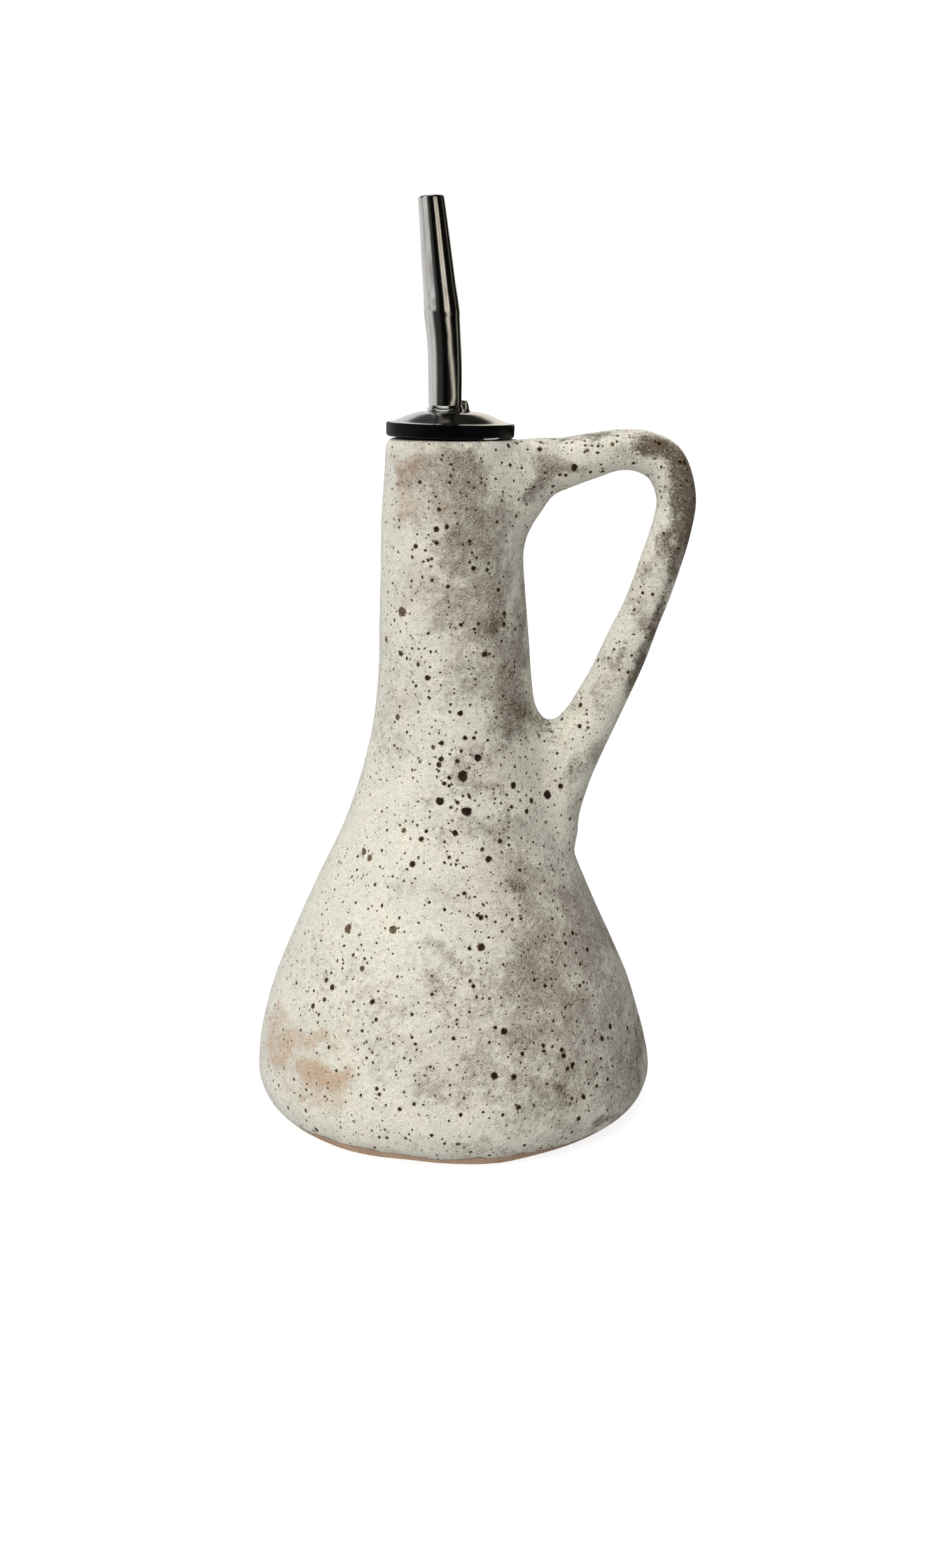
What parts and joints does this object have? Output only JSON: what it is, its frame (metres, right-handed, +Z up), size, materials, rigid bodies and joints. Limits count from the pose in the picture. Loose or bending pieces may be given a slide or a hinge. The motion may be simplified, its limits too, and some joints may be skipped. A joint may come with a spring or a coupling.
{
  "type": "ceramic oil bottle",
  "caption": "Flared stoneware oil bottle with a tall neck, a strap handle and a bent steel pourer in a black stopper.",
  "frame": {"origin": "centre of the flat foot, on the axis of the body", "axes": "+Z up along the body and neck; +X towards the handle; +Y away from the picture's camera"},
  "size_m": [0.1234, 0.1134, 0.2542],
  "materials": {
    "glazed_stoneware": "satin off-white glaze with iron speckle, bare clay foot",
    "black_stopper": "moulded black, satin",
    "steel_cap": "polished pressed sheet",
    "steel_tube": "fine polished tube",
    "steel_vent": "plain drawn tube"
  },
  "bodies": {
    "bottle": {"bottle": "glazed_stoneware"},
    "pourer": {"stopper": "black_stopper", "flange_cap": "steel_cap", "spout_tube": "steel_tube", "vent_tube": "steel_vent"}
  },
  "joints": [
    {"name": "pourer_pull", "type": "slide", "parent": "bottle", "child": "pourer", "axis": [0, 0, 1], "range_m": [0, 0.055]}
  ]
}
